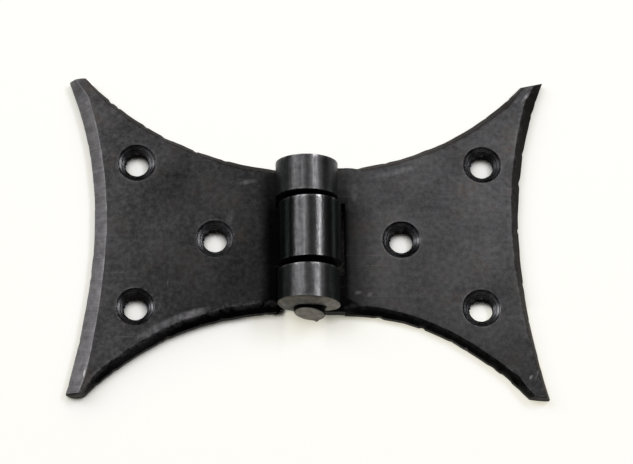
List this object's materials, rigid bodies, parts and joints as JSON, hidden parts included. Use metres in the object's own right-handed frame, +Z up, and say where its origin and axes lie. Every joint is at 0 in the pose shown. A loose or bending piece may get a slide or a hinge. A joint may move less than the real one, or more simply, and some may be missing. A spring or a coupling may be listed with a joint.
{
  "type": "butterfly hinge",
  "caption": "Forged black iron butterfly hinge: scalloped, bevelled leaves with countersunk screw holes, rolled into knuckles round a plain pin, for surface-fixed doors and lids.",
  "frame": {"origin": "middle of the open hinge's outline, on the plane of the backs of both leaves", "axes": "+X across the open hinge towards the leaf that carries the pin, +Y along the pin, +Z up out of the front faces"},
  "size_m": [0.1, 0.0684, 0.0129],
  "materials": {
    "leaf_iron": "satin black, worn on the edges",
    "pin_iron": "cut ends, dull grey"
  },
  "bodies": {
    "right_side": {"right_leaf": "leaf_iron", "hinge_pin": "pin_iron"},
    "left_side": {"left_leaf": "leaf_iron"}
  },
  "joints": [
    {"name": "leaf_swing", "type": "hinge", "parent": "right_side", "child": "left_side", "pos_m": [0, -0.0009, 0.00645], "axis": [0, 1, 0], "range_deg": [-90, 180]}
  ]
}
